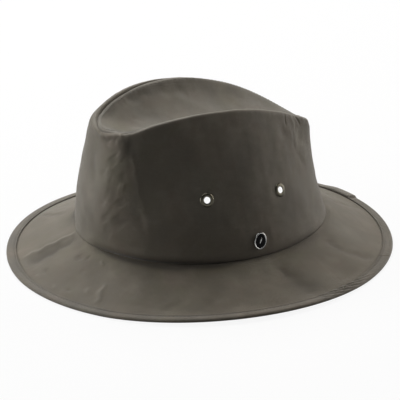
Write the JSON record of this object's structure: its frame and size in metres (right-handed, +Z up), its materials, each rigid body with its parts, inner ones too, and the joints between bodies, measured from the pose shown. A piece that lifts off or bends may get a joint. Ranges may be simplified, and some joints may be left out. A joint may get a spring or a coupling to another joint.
{
  "type": "waxed cotton hat",
  "caption": "Soft waxed cotton hat with a lengthwise dented crown, eyelets, an oval badge and a bound brim, lying on its brim.",
  "frame": {"origin": "centre of the hat's outline on the surface that the brim lies on", "axes": "+Z up out of the crown, -Y towards the front of the hat, +X towards the wearer's left"},
  "size_m": [0.286, 0.313, 0.131],
  "materials": {
    "waxed_cotton": "satin waxed cotton, mottled olive grey",
    "binding_cloth": "satin waxed cotton strip, stitched",
    "eyelet_metal": "dark antique brass",
    "badge_metal": "polished silver-coloured rim",
    "badge_enamel": "glossy black enamel, left blank"
  },
  "bodies": {
    "root": {"crown_wall": "waxed_cotton", "crown_tip": "waxed_cotton", "brim": "waxed_cotton", "brim_binding": "binding_cloth", "eyelet_left_front": "eyelet_metal", "eyelet_left_back": "eyelet_metal", "eyelet_right_front": "eyelet_metal", "eyelet_right_back": "eyelet_metal", "badge_frame": "badge_metal", "badge_enamel": "badge_enamel"}
  },
  "joints": []
}
